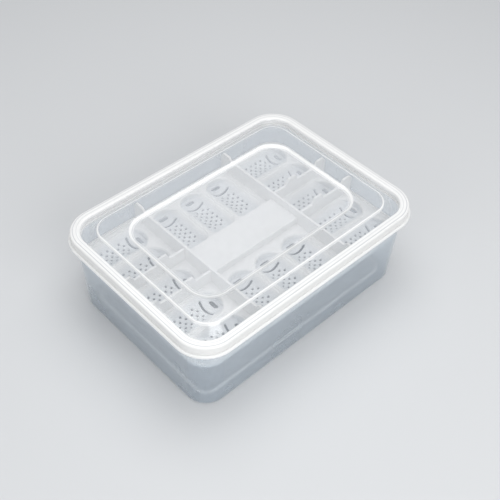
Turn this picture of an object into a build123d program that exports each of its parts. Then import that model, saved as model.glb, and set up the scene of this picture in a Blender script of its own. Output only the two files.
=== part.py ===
from build123d import *
import math
import os

# Reptile breeding box: a clear tub, a tray of egg cradles that sits on a ledge inside it, and a press-on lid.
# Millimetres, +Z up, +X along the long side. The origin is under the middle of the box, on the table.

# Tub
tub_length = 262.6
tub_width = 186.4
tub_corner = 22.0
tub_height = 91.0
tub_wall = 1.7
tub_draft = 2.9
tub_mouth_corner = 26.5
floor_thickness = 1.8
foot_fillet = 3.0
foot_step = 1.2
foot_ring_inset = 11.0
foot_ring_corner = 12.0
ledge_width = 0.9
rim_round = 0.5

# Flange that the lid closes down on
flange_drop = 6.4
flange_thickness = 3.4
flange_overhang = 2.2
flange_round = 1.4

# Lid
lid_margin = 4.09
lid_wall = 1.4
lid_gap = 0.5
rim_gap = 0.8
rim_width = 8.5
rim_fillet = 1.6
dish_depth = 6.2
dish_floor = 2.0
dish_inset = 3.0
dish_corner = 20.0
plug_clearance = 0.5
panel_rise = 1.8
panel_end_inset = 13.3
panel_side_inset = 12.2
panel_corner = 19.0
panel_foot_run = 9.0
panel_fillet = 0.7
window_end_inset = 17.9
window_side_inset = 18.6
window_corner = 25.0
window_step = 2.0
window_slope = 4.2

# Egg tray
tray_drop = 32.0
tray_plate = 1.6
tray_clearance = 0.4
tray_lip_width = 1.8
tray_lip_height = 1.3
ridge_thickness = 2.4
ridge_height = 16.5
cross_ridge_height = 14.0
ridge_gap = 0.45
ridge_side_gap = 5.25
tab_height = 20.8
tab_length = 9.0
tab_slope = 3.5
tab_ridge_gap = 22.25
tab_edge_inset = 3.0
plateau_height = 8.0
plateau_gap = 0.3

# Egg cradles pressed into the tray
cell_width = 31.5
cell_depth = 8.0
cell_corner = 8.0
cell_bevel = 1.2
cell_wall = 1.3
cell_pitch = 34.8
side_end_margin = 6.5
middle_end_margin = 7.5
middle_ridge_gap = 4.3

# Vents in the floor of each cradle
vent_diameter = 2.6
vent_pitch_along = 6.8
vent_pitch_across = 7.8
vent_end_gap = 11.0
vent_smile_gap = 5.4
slot_length = 11.0
slot_width = 4.8
slot_end_gap = 5.8
smile_half_span = 9.2
smile_rise = 1.6
smile_width = 2.6
smile_end_gap = 16.4

os.makedirs("parts", exist_ok=True)

draft_slope = math.tan(math.radians(tub_draft))
flange_top = tub_height - flange_drop
flange_underside = flange_top - flange_thickness
skirt_bottom = flange_top + lid_gap
tray_top = tub_height - tray_drop
ledge_top = tray_top - tray_plate
tray_bottom = tray_top - cell_depth - cell_wall


def tub_outside(z, inset=0.0):
    """Length, width and corner radius of the tapering tub at height z, taken in by inset."""
    grow = z * draft_slope - inset
    corner = tub_corner + (tub_mouth_corner - tub_corner) * z / tub_height - inset
    return (tub_length + 2 * grow, tub_width + 2 * grow, corner)


def taper(z_low, low, z_high, high, mode=Mode.ADD):
    """A solid between two rounded rectangles, each given as length, width and corner radius."""
    with BuildSketch(Plane.XY.offset(z_low)) as bottom_face:
        RectangleRounded(*low)
    with BuildSketch(Plane.XY.offset(z_high)) as top_face:
        RectangleRounded(*high)
    loft([bottom_face.sketch, top_face.sketch], ruled=True, mode=mode)


def shrink(outline, inset):
    """A rounded rectangle taken in by inset all round."""
    length, width, corner = outline
    return (length - 2 * inset, width - 2 * inset, corner - inset)


# Tub: flange first, then the tapering body, then the hollow with the ledge that carries the tray
lid_outline = shrink(tub_outside(tub_height), -lid_margin)
flange_outline = shrink(lid_outline, -flange_overhang)
foot_outline = shrink(tub_outside(0), foot_ring_inset)
foot_outline = (foot_outline[0], foot_outline[1], foot_ring_corner)

with BuildPart() as box_tub:
    with BuildSketch(Plane.XY.offset(flange_underside)):
        RectangleRounded(*flange_outline)
    extrude(amount=flange_thickness)
    fillet(box_tub.faces().filter_by(Axis.Z).edges(), flange_round)
    taper(0, tub_outside(0), tub_height, tub_outside(tub_height))
    fillet(box_tub.faces().sort_by(Axis.Z)[0].edges(), foot_fillet)
    taper(
        floor_thickness,
        tub_outside(floor_thickness, tub_wall + ledge_width),
        ledge_top,
        tub_outside(ledge_top, tub_wall + ledge_width),
        mode=Mode.SUBTRACT,
    )
    taper(
        ledge_top,
        tub_outside(ledge_top, tub_wall),
        tub_height,
        tub_outside(tub_height, tub_wall),
        mode=Mode.SUBTRACT,
    )
    with BuildSketch(Plane.XY.offset(floor_thickness)):
        RectangleRounded(*foot_outline)
    extrude(amount=foot_step)
    with BuildSketch():
        RectangleRounded(*foot_outline)
    extrude(amount=foot_step, mode=Mode.SUBTRACT)
    fillet(box_tub.edges().group_by(Axis.Z)[-1], rim_round)
box_tub.part.label = "box_tub"
export_step(box_tub.part, "parts/box_tub.step")

# Lid: skirt and rim, plug that fits the mouth, raised panel, sunk window
rim_underside = tub_height + rim_gap
rim_top = rim_underside + lid_wall
dish_bottom = rim_top - dish_depth
plug_bottom = dish_bottom - dish_floor
rim_inner = shrink(lid_outline, rim_width)
rim_inner = (rim_inner[0], rim_inner[1], dish_corner + dish_inset)
dish_outline = shrink(rim_inner, dish_inset)
plug_outline = tub_outside(plug_bottom, tub_wall + plug_clearance)
panel_top = rim_top + panel_rise
panel_outline = (rim_inner[0] - 2 * panel_end_inset, rim_inner[1] - 2 * panel_side_inset, panel_corner)
panel_foot = shrink(panel_outline, -panel_foot_run)
window_outline = (
    panel_outline[0] - 2 * window_end_inset,
    panel_outline[1] - 2 * window_side_inset,
    window_corner,
)
window_floor = shrink(window_outline, window_slope)
window_floor_z = panel_top - window_step

with BuildPart() as lid:
    with BuildSketch(Plane.XY.offset(skirt_bottom)):
        RectangleRounded(*lid_outline)
    extrude(amount=rim_top - skirt_bottom)
    with BuildSketch(Plane.XY.offset(skirt_bottom)):
        RectangleRounded(*shrink(lid_outline, lid_wall))
    extrude(amount=rim_underside - skirt_bottom, mode=Mode.SUBTRACT)
    taper(plug_bottom, shrink(plug_outline, plug_clearance), rim_underside, plug_outline)
    taper(dish_bottom, dish_outline, rim_top, rim_inner, mode=Mode.SUBTRACT)
    fillet(lid.edges().group_by(Axis.Z)[-1], rim_fillet)
    taper(dish_bottom, panel_foot, panel_top, panel_outline)
    taper(
        plug_bottom,
        shrink(panel_foot, lid_wall),
        panel_top - lid_wall,
        shrink(panel_outline, lid_wall),
        mode=Mode.SUBTRACT,
    )
    taper(
        window_floor_z - lid_wall,
        shrink(window_floor, -lid_wall),
        panel_top - lid_wall,
        shrink(window_outline, -lid_wall),
    )
    taper(window_floor_z, window_floor, panel_top, window_outline, mode=Mode.SUBTRACT)
    fillet(lid.edges().group_by(Axis.Z)[-1], panel_fillet)
lid.part.label = "lid"
export_step(lid.part, "parts/lid.step")

# Layout of the tray: the cradles and ridges take their places from its edges
tray_outline = tub_outside(ledge_top, tub_wall + tray_clearance)
tray_half_length = tray_outline[0] / 2
tray_half_width = tray_outline[1] / 2
ridge_half = ridge_thickness / 2
ridge_y = cell_width / 2 + cell_bevel + ridge_gap + ridge_half
side_row_y = ridge_y + ridge_half + ridge_gap + cell_bevel + cell_width / 2
middle_band_inner = ridge_y + ridge_half + middle_ridge_gap + cell_bevel
middle_band_outer = tray_half_width - middle_end_margin - cell_bevel
cell_length = middle_band_outer - middle_band_inner
middle_cell_y = (middle_band_inner + middle_band_outer) / 2
side_cell_x = tray_half_length - side_end_margin - cell_bevel - cell_length / 2
ridge_x = side_cell_x - cell_length / 2 - cell_bevel - ridge_side_gap - ridge_half
side_rows = int((tray_half_width - tray_lip_width - ridge_y - ridge_half) // cell_pitch)
middle_columns = int(2 * (ridge_x - ridge_half) // cell_pitch)

# One egg cradle, long side along +X with its round end at +X
cradle_radius = ((cell_width / 2) ** 2 + cell_depth**2) / (2 * cell_depth)
cradle_axis_z = tray_top - cell_depth + cradle_radius
slot_u = cell_length / 2 - slot_end_gap
smile_u = cell_length / 2 - smile_end_gap
vent_first_u = smile_u - vent_smile_gap
vent_last_u = vent_end_gap - cell_length / 2
vent_steps = round((vent_first_u - vent_last_u) / vent_pitch_along)
vent_step = (vent_first_u - vent_last_u) / vent_steps
vent_middle_u = (vent_first_u + vent_last_u) / 2


def cell_outline(grow=0.0):
    """Outline of a cradle seen from above: rounded corners at one end, fully round at the other."""
    radius = cell_width / 2 + grow
    corner = cell_corner + grow
    centre_u = cell_length / 2 - cell_width / 2
    straight = centre_u + cell_length / 2 + grow + corner
    with Locations((centre_u + corner - straight / 2, 0)):
        RectangleRounded(straight, 2 * radius, corner)
    with Locations((centre_u, 0)):
        Circle(radius)


with BuildPart() as cell_shell:
    with BuildSketch(Plane.XY.offset(tray_top)):
        cell_outline(cell_wall)
    extrude(amount=-(cell_depth + 2 * cell_wall))
    with Locations(Location((0, 0, cradle_axis_z), (0, 90, 0))):
        Cylinder(cradle_radius + cell_wall, 2 * cell_length, mode=Mode.INTERSECT)

with BuildLine() as smile:
    ThreePointArc(
        (smile_u + smile_rise, -smile_half_span),
        (smile_u, 0),
        (smile_u + smile_rise, smile_half_span),
    )

with BuildPart() as cell_cut:
    with BuildSketch(Plane.XY.offset(tray_top)):
        cell_outline()
    extrude(amount=-(cell_depth + cell_wall))
    with Locations(Location((0, 0, cradle_axis_z), (0, 90, 0))):
        Cylinder(cradle_radius, 2 * cell_length, mode=Mode.INTERSECT)
    with BuildSketch(Plane.XY.offset(tray_top)) as bevel_top:
        cell_outline(cell_bevel)
    with BuildSketch(Plane.XY.offset(tray_top - cell_bevel)) as bevel_bottom:
        cell_outline()
    loft([bevel_bottom.sketch, bevel_top.sketch], ruled=True)
    with BuildSketch(Plane.XY.offset(tray_bottom - cell_wall)):
        with Locations((vent_middle_u, 0)):
            with GridLocations(vent_step, vent_pitch_across, vent_steps + 1, 2):
                Circle(vent_diameter / 2)
            with GridLocations(vent_step, vent_pitch_across, vent_steps, 3):
                Circle(vent_diameter / 2)
        with Locations((slot_u, 0)):
            SlotOverall(slot_length, slot_width, rotation=90)
        SlotArc(smile.line.edge(), smile_width)
    extrude(amount=cell_depth)

outer_ys = [side_row_y + row * cell_pitch for row in range(side_rows)]
side_ys = [-y for y in outer_ys] + [0] + outer_ys
middle_xs = [(column - (middle_columns - 1) / 2) * cell_pitch for column in range(middle_columns)]
cell_places = [Location((side * side_cell_x, y, 0)) for side in (-1, 1) for y in side_ys]
cell_places += [
    Location((x, side * middle_cell_y, 0), (0, 0, 90)) for side in (-1, 1) for x in middle_xs
]

# Egg tray: plate with a lip, dividing ridges with raised tabs, hollow middle plateau and sixteen cradles
ridge_top = tray_top + ridge_height
cross_ridge_top = tray_top + cross_ridge_height
tab_top = tray_top + tab_height
tab_inner_x = ridge_x + tab_ridge_gap
tab_edge_x = tray_half_length - tab_edge_inset
tab_outer_x = tab_edge_x - tab_length
tab_edge_y = tray_half_width - tab_edge_inset
tab_inner_y = tab_edge_y - tab_length
plateau_length = 2 * ridge_x
plateau_width = 2 * ridge_y - 2 * plateau_gap
plateau_top = tray_top + plateau_height

with BuildPart() as egg_tray:
    with BuildSketch(Plane.XY.offset(ledge_top)):
        RectangleRounded(*tray_outline)
    extrude(amount=tray_plate)
    with BuildSketch(Plane.XY.offset(tray_top)):
        RectangleRounded(*tray_outline)
        RectangleRounded(*shrink(tray_outline, tray_lip_width), mode=Mode.SUBTRACT)
    extrude(amount=tray_lip_height)
    with BuildSketch(Plane.XY.offset(tray_top)):
        Rectangle(plateau_length, plateau_width)
    extrude(amount=plateau_height)
    with BuildSketch(Plane.XY.offset(ledge_top)):
        Rectangle(plateau_length - 2 * tray_plate, plateau_width - 2 * tray_plate)
    extrude(amount=plateau_height, mode=Mode.SUBTRACT)
    with BuildSketch(Plane.YZ.offset(ridge_x), Plane.YZ.offset(-ridge_x)):
        with BuildLine():
            Polyline(
                (-tray_half_width, tray_top),
                (-tray_half_width, tab_top - tab_slope),
                (-tab_edge_y, tab_top),
                (-tab_inner_y, tab_top),
                (tab_slope - tab_inner_y, ridge_top),
                (tab_inner_y - tab_slope, ridge_top),
                (tab_inner_y, tab_top),
                (tab_edge_y, tab_top),
                (tray_half_width, tab_top - tab_slope),
                (tray_half_width, tray_top),
                close=True,
            )
        make_face()
    extrude(amount=ridge_thickness / 2, both=True)
    for side in (-1, 1):
        with BuildSketch(Plane.XZ.offset(ridge_y), Plane.XZ.offset(-ridge_y)):
            with BuildLine():
                Polyline(
                    (side * ridge_x, tray_top),
                    (side * ridge_x, cross_ridge_top),
                    (side * (tab_inner_x - tab_slope), cross_ridge_top),
                    (side * tab_inner_x, tab_top),
                    (side * (tab_inner_x + tab_length), tab_top),
                    (side * (tab_inner_x + tab_length + tab_slope), cross_ridge_top),
                    (side * (tab_outer_x - tab_slope), cross_ridge_top),
                    (side * tab_outer_x, tab_top),
                    (side * tab_edge_x, tab_top),
                    (side * tray_half_length, tab_top - tab_slope),
                    (side * tray_half_length, tray_top),
                    close=True,
                )
            make_face()
        extrude(amount=ridge_thickness / 2, both=True)
    with Locations(*cell_places):
        add(cell_shell.part)
    with Locations(*cell_places):
        add(cell_cut.part, mode=Mode.SUBTRACT)
egg_tray.part.label = "egg_tray"
export_step(egg_tray.part, "parts/egg_tray.step")
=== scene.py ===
"""A translucent reptile breeding box: a drafted tub, a press-on lid and a tray of vented egg cradles."""

import bpy
from mathutils import Matrix, Vector


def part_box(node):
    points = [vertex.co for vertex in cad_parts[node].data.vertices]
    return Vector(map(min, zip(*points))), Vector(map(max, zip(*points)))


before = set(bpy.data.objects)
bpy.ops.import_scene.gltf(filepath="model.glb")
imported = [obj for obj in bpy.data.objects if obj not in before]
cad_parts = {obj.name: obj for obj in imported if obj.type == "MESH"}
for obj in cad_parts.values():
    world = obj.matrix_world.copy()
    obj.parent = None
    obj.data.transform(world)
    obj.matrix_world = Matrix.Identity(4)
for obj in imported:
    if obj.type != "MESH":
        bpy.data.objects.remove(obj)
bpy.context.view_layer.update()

MM = 0.001

# Camera, fitted to the photograph: its place, and the directions right, down and into the picture
CAMERA_PLACE = Vector((-0.39978, -0.41306, 0.64600))
CAMERA_RIGHT = Vector((0.73030, -0.68250, 0.02905))
CAMERA_DOWN = Vector((-0.47860, -0.54153, -0.69115))
CAMERA_LOOK = Vector((0.48744, 0.49085, -0.72213))
CAMERA_LENS = 61.17
CAMERA_SENSOR = 36.0
CAMERA_CLIP = (0.05, 20.0)

# Plastic: what a skin mirrors when seen head on, and the share of light that its milky part lets through
PLASTIC_IOR = 1.49
HEAD_ON_GLOSS = 0.04
LIGHT_PASSED = 0.15
UNTINTED = (1, 1, 1, 1)

# Lid: how much each region of a skin hides, and its colours
LID_HAZE = 0.12
WINDOW_HAZE = 0.19
# Step lines at the window and panel edges are whiter and more opaque: partly the longer path through the
# plastic, partly painted highlight
LID_HIGHLIGHT_HAZE = 0.70
RIM_HAZE = 0.85
RIM_LINE_HAZE = 0.66
FAINT_LINE = 0.6
LID_MILK = (0.88, 0.90, 0.93, 1)
# White of the rim, and of the step lines, where it is partly painted highlight
LID_WHITE = (0.97, 0.97, 0.96, 1)
RIM_LINE_GREY = (0.86, 0.87, 0.89, 1)

# Tub: the walls' haze varies in clouds, and the flange and the step of the floor are whiter
FLANGE_FROM, FLANGE_FULL = 80.0 * MM, 81.4 * MM
FOOT_FROM, FOOT_FULL = 5.0 * MM, 1.0 * MM
RING_HALF_WIDTH = 1.3 * MM
RING_FROM, RING_FULL = 4.5 * MM, 3.2 * MM
WALL_HAZE = (0.24, 0.28)
FOOT_HAZE = 0.36
FLANGE_HAZE = 0.94
WALL_LOW = (0.64, 0.69, 0.74, 1)
WALL_HIGH = (0.72, 0.77, 0.82, 1)
FLANGE_WHITE = (0.96, 0.96, 0.95, 1)
WALL_TINT = (0.95, 0.97, 0.985, 1)

# Tray: the plate, the thinner cradles below it with a greyer colour that is painted shade, and the
# upright ridges
CRADLE_FROM, CRADLE_FULL = 58.0 * MM, 53.0 * MM
PLATE_HAZE = (0.87, 0.92)
CRADLE_HAZE = 0.78
UPRIGHT_HAZE = 0.93
PLATE_WHITE = (0.97, 0.97, 0.965, 1)
# Greyer blue of the cradles: painted shade in the hollows
CRADLE_SHADE_GREY = (0.90, 0.92, 0.94, 1)

# Studio
FLOOR_HALF_SIZE = 3.0
FLOOR_DROP = 0.0002
FLOOR_COLOR = (0.62, 0.63, 0.64, 1)
WORLD_COLOR = (0.96, 0.975, 1.0, 1)
WORLD_STRENGTH = 0.42
BOX_CENTRE = (0, 0, 0.05)
SOFTBOXES = {
    # name: place, side in metres, watts
    "overhead": ((0.15, 0.10, 1.30), 1.2, 10.6),
    "front": ((-0.30, -1.25, 0.80), 0.9, 9.8),
    "left": ((-1.25, -0.25, 0.60), 0.8, 3.5),
}

# Each crossing of a clear skin counts as a bounce, and a look through lid, tray and tub crosses many
CLEAR_CROSSINGS = 64


def inset(outline, end, side, corner):
    """An outline taken in at its ends and at its sides, with a corner radius of its own."""
    return (outline[0] - end, outline[1] - side, corner)


def plan_of(node):
    """Half length and half width of a node that is centred on the origin."""
    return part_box(node)[1][:2]


# Outlines in plan: half length, half width, corner radius
RIM_INNER = inset(plan_of("lid"), 8.5 * MM, 8.0 * MM, 23.0 * MM)
PANEL = inset(RIM_INNER, 13.3 * MM, 12.7 * MM, 19.0 * MM)
WINDOW = inset(PANEL, 17.9 * MM, 18.6 * MM, 25.0 * MM)
FOOT_RING = inset(plan_of("box_tub"), 21.9 * MM, 21.9 * MM, 12.0 * MM)


def add_camera():
    data = bpy.data.cameras.new("camera")
    data.lens = CAMERA_LENS
    data.sensor_width = CAMERA_SENSOR
    data.clip_start, data.clip_end = CAMERA_CLIP
    camera = bpy.data.objects.new("camera", data)
    bpy.context.scene.collection.objects.link(camera)
    turn = Matrix((CAMERA_RIGHT, -CAMERA_DOWN, -CAMERA_LOOK)).transposed().to_4x4()
    camera.matrix_world = Matrix.Translation(CAMERA_PLACE) @ turn
    bpy.context.scene.camera = camera


class Graph:
    """One material's node tree, with short calls that add a node and give back its output."""

    def __init__(self, name):
        self.material = bpy.data.materials.new(name)
        self.material.use_nodes = True
        self.tree = self.material.node_tree
        self.tree.nodes.clear()
        self.place = self.add("ShaderNodeTexCoord").outputs["Object"]
        self.normal = self.add("ShaderNodeNewGeometry").outputs["True Normal"]
        self.x, self.y, self.z = self.split(self.place)

    def add(self, kind, inputs=None, **settings):
        node = self.tree.nodes.new(kind)
        for key, value in settings.items():
            setattr(node, key, value)
        for key, value in (inputs or {}).items():
            self.put(node.inputs[key], value)
        return node

    def put(self, socket, value):
        if isinstance(value, bpy.types.NodeSocket):
            self.tree.links.new(value, socket)
        else:
            socket.default_value = value

    def math(self, operation, *values):
        return self.add("ShaderNodeMath", dict(enumerate(values)), operation=operation).outputs[0]

    def either(self, first, second):
        return self.math("MAXIMUM", first, second)

    def both(self, first, second):
        return self.math("MULTIPLY", first, second)

    def split(self, vector):
        node = self.add("ShaderNodeSeparateXYZ", {0: vector})
        return node.outputs[0], node.outputs[1], node.outputs[2]

    def ramp(self, value, low, high, start=0.0, end=1.0):
        """A smooth step: start below low, end above high."""
        node = self.add(
            "ShaderNodeMapRange",
            {"Value": value, "From Min": low, "From Max": high, "To Min": start, "To Max": end},
            interpolation_type="SMOOTHSTEP",
        )
        return node.outputs[0]

    def blend(self, share, low, high):
        """A number between low and high by share. Sockets 2 and 3 of a Mix node hold its numbers."""
        node = self.add("ShaderNodeMix", {0: share, 2: low, 3: high}, data_type="FLOAT")
        return node.outputs[0]

    def tint(self, share, low, high):
        """A colour between low and high by share. Sockets 6 and 7 of a Mix node hold its colours."""
        node = self.add("ShaderNodeMix", {0: share, 6: low, 7: high}, data_type="RGBA")
        return node.outputs[2]

    def noise(self, scale, detail):
        inputs = {"Vector": self.place, "Scale": scale, "Detail": detail}
        return self.add("ShaderNodeTexNoise", inputs).outputs["Fac"]

    def outline(self, half_x, half_y, corner):
        """Distance from a rounded rectangle in plan, negative inside it."""
        across = self.math("SUBTRACT", self.math("ABSOLUTE", self.x), half_x - corner)
        along = self.math("SUBTRACT", self.math("ABSOLUTE", self.y), half_y - corner)
        reach_x = self.math("MAXIMUM", across, 0.0)
        reach_y = self.math("MAXIMUM", along, 0.0)
        square_x = self.math("MULTIPLY", reach_x, reach_x)
        square_y = self.math("MULTIPLY", reach_y, reach_y)
        outside = self.math("SQRT", self.math("ADD", square_x, square_y))
        inside = self.math("MINIMUM", self.math("MAXIMUM", across, along), 0.0)
        return self.math("SUBTRACT", self.math("ADD", outside, inside), corner)

    def band(self, value, low, high, soft):
        """1 between low and high, fading out over soft on both sides."""
        rise = self.ramp(value, low - soft / 2, low + soft / 2)
        fall = self.ramp(value, high + soft / 2, high - soft / 2)
        return self.both(rise, fall)

    def steep(self, low, high):
        """1 on walls and steps, 0 on level faces."""
        level = self.math("ABSOLUTE", self.split(self.normal)[2])
        return self.ramp(self.math("SUBTRACT", 1.0, level), low, high)

    def bump(self, height, distance, strength):
        inputs = {"Height": height, "Distance": distance, "Strength": strength}
        return self.add("ShaderNodeBump", inputs).outputs[0]

    def mix(self, share, first, second):
        return self.add("ShaderNodeMixShader", {0: share, 1: first, 2: second}).outputs[0]

    def finish(self, color, haze, roughness, bump, clear_tint=UNTINTED):
        """Haze is how much of the view one skin of the plastic hides; the rest is clear, with a gloss."""
        milky = self.add(
            "ShaderNodeBsdfPrincipled",
            {"Base Color": color, "Roughness": roughness, "IOR": PLASTIC_IOR, "Normal": bump},
        )
        glow = self.add("ShaderNodeBsdfTranslucent", {"Color": color, "Normal": bump})
        body = self.mix(LIGHT_PASSED, milky.outputs[0], glow.outputs[0])
        clear = self.add("ShaderNodeBsdfTransparent", {"Color": clear_tint})
        gloss = self.add(
            "ShaderNodeBsdfGlossy",
            {"Color": UNTINTED, "Roughness": roughness, "Normal": bump},
        )
        facing = self.add("ShaderNodeLayerWeight", {"Blend": 0.5, "Normal": bump}).outputs["Facing"]
        grazing = self.math("POWER", facing, 5.0)
        mirror = self.math("MULTIPLY_ADD", grazing, 1.0 - HEAD_ON_GLOSS, HEAD_ON_GLOSS)
        skin = self.mix(mirror, clear.outputs[0], gloss.outputs[0])
        output = self.add("ShaderNodeOutputMaterial", {"Surface": self.mix(haze, skin, body)})
        output.is_active_output = True
        return self.material


def lid_plastic():
    """Clear panel and window, step edges painted whiter, partly for the longer path through the plastic
    and partly as painted highlight, and a white rim with two fine lines round it.
    """
    graph = Graph("lid_polypropylene")
    to_window = graph.outline(*WINDOW)
    to_panel = graph.outline(*PANEL)
    to_rim = graph.outline(*RIM_INNER)

    cloud = graph.ramp(graph.noise(26.0, 3.0), 0.3, 0.7, 0.85, 1.15)
    inside = graph.ramp(to_window, 0.0, -4.0 * MM)
    haze = graph.both(graph.blend(inside, LID_HAZE, WINDOW_HAZE), cloud)

    # Step lines at the window and the panel edge: partly the longer path through the plastic at the
    # steps, partly painted highlight
    window_top = graph.band(to_window, -3.3 * MM, -0.6 * MM, 0.8 * MM)
    window_foot = graph.band(to_window, -4.8 * MM, -3.9 * MM, 0.8 * MM)
    window_highlight = graph.either(window_top, graph.both(window_foot, FAINT_LINE))
    panel_highlight = graph.band(to_panel, -0.9 * MM, 0.6 * MM, 0.4 * MM)
    lines = graph.either(window_highlight, panel_highlight)
    haze = graph.blend(lines, haze, LID_HIGHLIGHT_HAZE)

    rim = graph.ramp(to_rim, -2.5 * MM, 0.0)
    haze = graph.blend(rim, haze, RIM_HAZE)
    inner_line = graph.band(to_rim, 2.2 * MM, 3.0 * MM, 0.6 * MM)
    outer_line = graph.band(to_rim, 5.3 * MM, 6.3 * MM, 0.6 * MM)
    rim_lines = graph.either(graph.both(inner_line, FAINT_LINE), outer_line)
    haze = graph.blend(rim_lines, haze, RIM_LINE_HAZE)

    # The rim's white is its own; on the step lines the white is partly painted highlight
    color = graph.tint(graph.either(rim, lines), LID_MILK, LID_WHITE)
    color = graph.tint(rim_lines, color, RIM_LINE_GREY)
    scuff = graph.ramp(graph.noise(70.0, 4.0), 0.55, 0.75)
    roughness = graph.blend(scuff, 0.14, 0.26)
    bump = graph.bump(graph.noise(240.0, 2.0), 0.02 * MM, 0.25)
    return graph.finish(color, haze, roughness, bump)


def tub_plastic():
    """Bluish clear walls, hazier at the foot, with a white flange and a white step round the floor."""
    graph = Graph("tub_polypropylene")
    flange = graph.ramp(graph.z, FLANGE_FROM, FLANGE_FULL)
    foot = graph.ramp(graph.z, FOOT_FROM, FOOT_FULL)
    ring = graph.band(graph.outline(*FOOT_RING), -RING_HALF_WIDTH, RING_HALF_WIDTH, 0.5 * MM)
    ring = graph.both(ring, graph.ramp(graph.z, RING_FROM, RING_FULL))
    white = graph.either(flange, ring)

    cloud = graph.ramp(graph.noise(18.0, 3.0), 0.3, 0.7)
    haze = graph.blend(cloud, *WALL_HAZE)
    haze = graph.blend(foot, haze, FOOT_HAZE)
    haze = graph.blend(white, haze, FLANGE_HAZE)

    color = graph.tint(graph.ramp(graph.z, 0.0, FLANGE_FROM), WALL_LOW, WALL_HIGH)
    color = graph.tint(white, color, FLANGE_WHITE)
    roughness = graph.blend(cloud, 0.26, 0.34)
    bump = graph.bump(graph.noise(300.0, 2.0), 0.02 * MM, 0.25)
    return graph.finish(color, haze, roughness, bump, clear_tint=WALL_TINT)


def tray_plastic():
    """Milky white with a fine grain, a little clearer where the cradles are drawn thin, and greyer there
    as painted shade in the hollows.
    """
    graph = Graph("tray_polypropylene")
    cradle = graph.ramp(graph.z, CRADLE_FROM, CRADLE_FULL)
    cloud = graph.ramp(graph.noise(30.0, 3.0), 0.3, 0.7)
    haze = graph.blend(cloud, *PLATE_HAZE)
    haze = graph.blend(cradle, haze, CRADLE_HAZE)
    haze = graph.blend(graph.steep(0.20, 0.70), haze, UPRIGHT_HAZE)

    # Painted shade: the cradles are tinted greyer blue than the plate
    color = graph.tint(cradle, PLATE_WHITE, CRADLE_SHADE_GREY)
    grain = graph.noise(700.0, 3.0)
    roughness = graph.ramp(grain, 0.3, 0.7, 0.34, 0.48)
    bump = graph.bump(grain, 0.03 * MM, 0.4)
    return graph.finish(color, haze, roughness, bump)


def dress(node, material):
    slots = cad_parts[node].data.materials
    if not slots:
        slots.append(material)
    for index in range(len(slots)):
        slots[index] = material


def add_floor():
    far = FLOOR_HALF_SIZE
    corners = [(-far, -far, 0), (far, -far, 0), (far, far, 0), (-far, far, 0)]
    mesh = bpy.data.meshes.new("floor")
    mesh.from_pydata(corners, [], [(0, 1, 2, 3)])
    floor = bpy.data.objects.new("floor", mesh)
    floor.location.z = -FLOOR_DROP
    bpy.context.scene.collection.objects.link(floor)
    material = bpy.data.materials.new("floor_paper")
    material.use_nodes = True
    shader = material.node_tree.nodes["Principled BSDF"]
    shader.inputs["Base Color"].default_value = FLOOR_COLOR
    shader.inputs["Roughness"].default_value = 0.9
    shader.inputs["Specular IOR Level"].default_value = 0.2
    mesh.materials.append(material)


def add_softbox(name, place, side, power):
    """A square lamp that faces the box."""
    data = bpy.data.lights.new(name, "AREA")
    data.shape = "RECTANGLE"
    data.size, data.size_y = side, side
    data.energy = power
    lamp = bpy.data.objects.new(name, data)
    lamp.location = place
    lamp.rotation_mode = "QUATERNION"
    lamp.rotation_quaternion = (Vector(BOX_CENTRE) - Vector(place)).to_track_quat("-Z", "Y")
    bpy.context.scene.collection.objects.link(lamp)


def add_lights():
    for name, (place, side, power) in SOFTBOXES.items():
        add_softbox(name, place, side, power)
    world = bpy.data.worlds.new("studio")
    world.use_nodes = True
    background = world.node_tree.nodes["Background"]
    background.inputs["Color"].default_value = WORLD_COLOR
    background.inputs["Strength"].default_value = WORLD_STRENGTH
    bpy.context.scene.world = world


add_camera()
dress("lid", lid_plastic())
dress("box_tub", tub_plastic())
dress("egg_tray", tray_plastic())
add_floor()
add_lights()
bpy.context.scene.view_settings.view_transform = "Standard"
bpy.context.scene.cycles.transparent_max_bounces = CLEAR_CROSSINGS
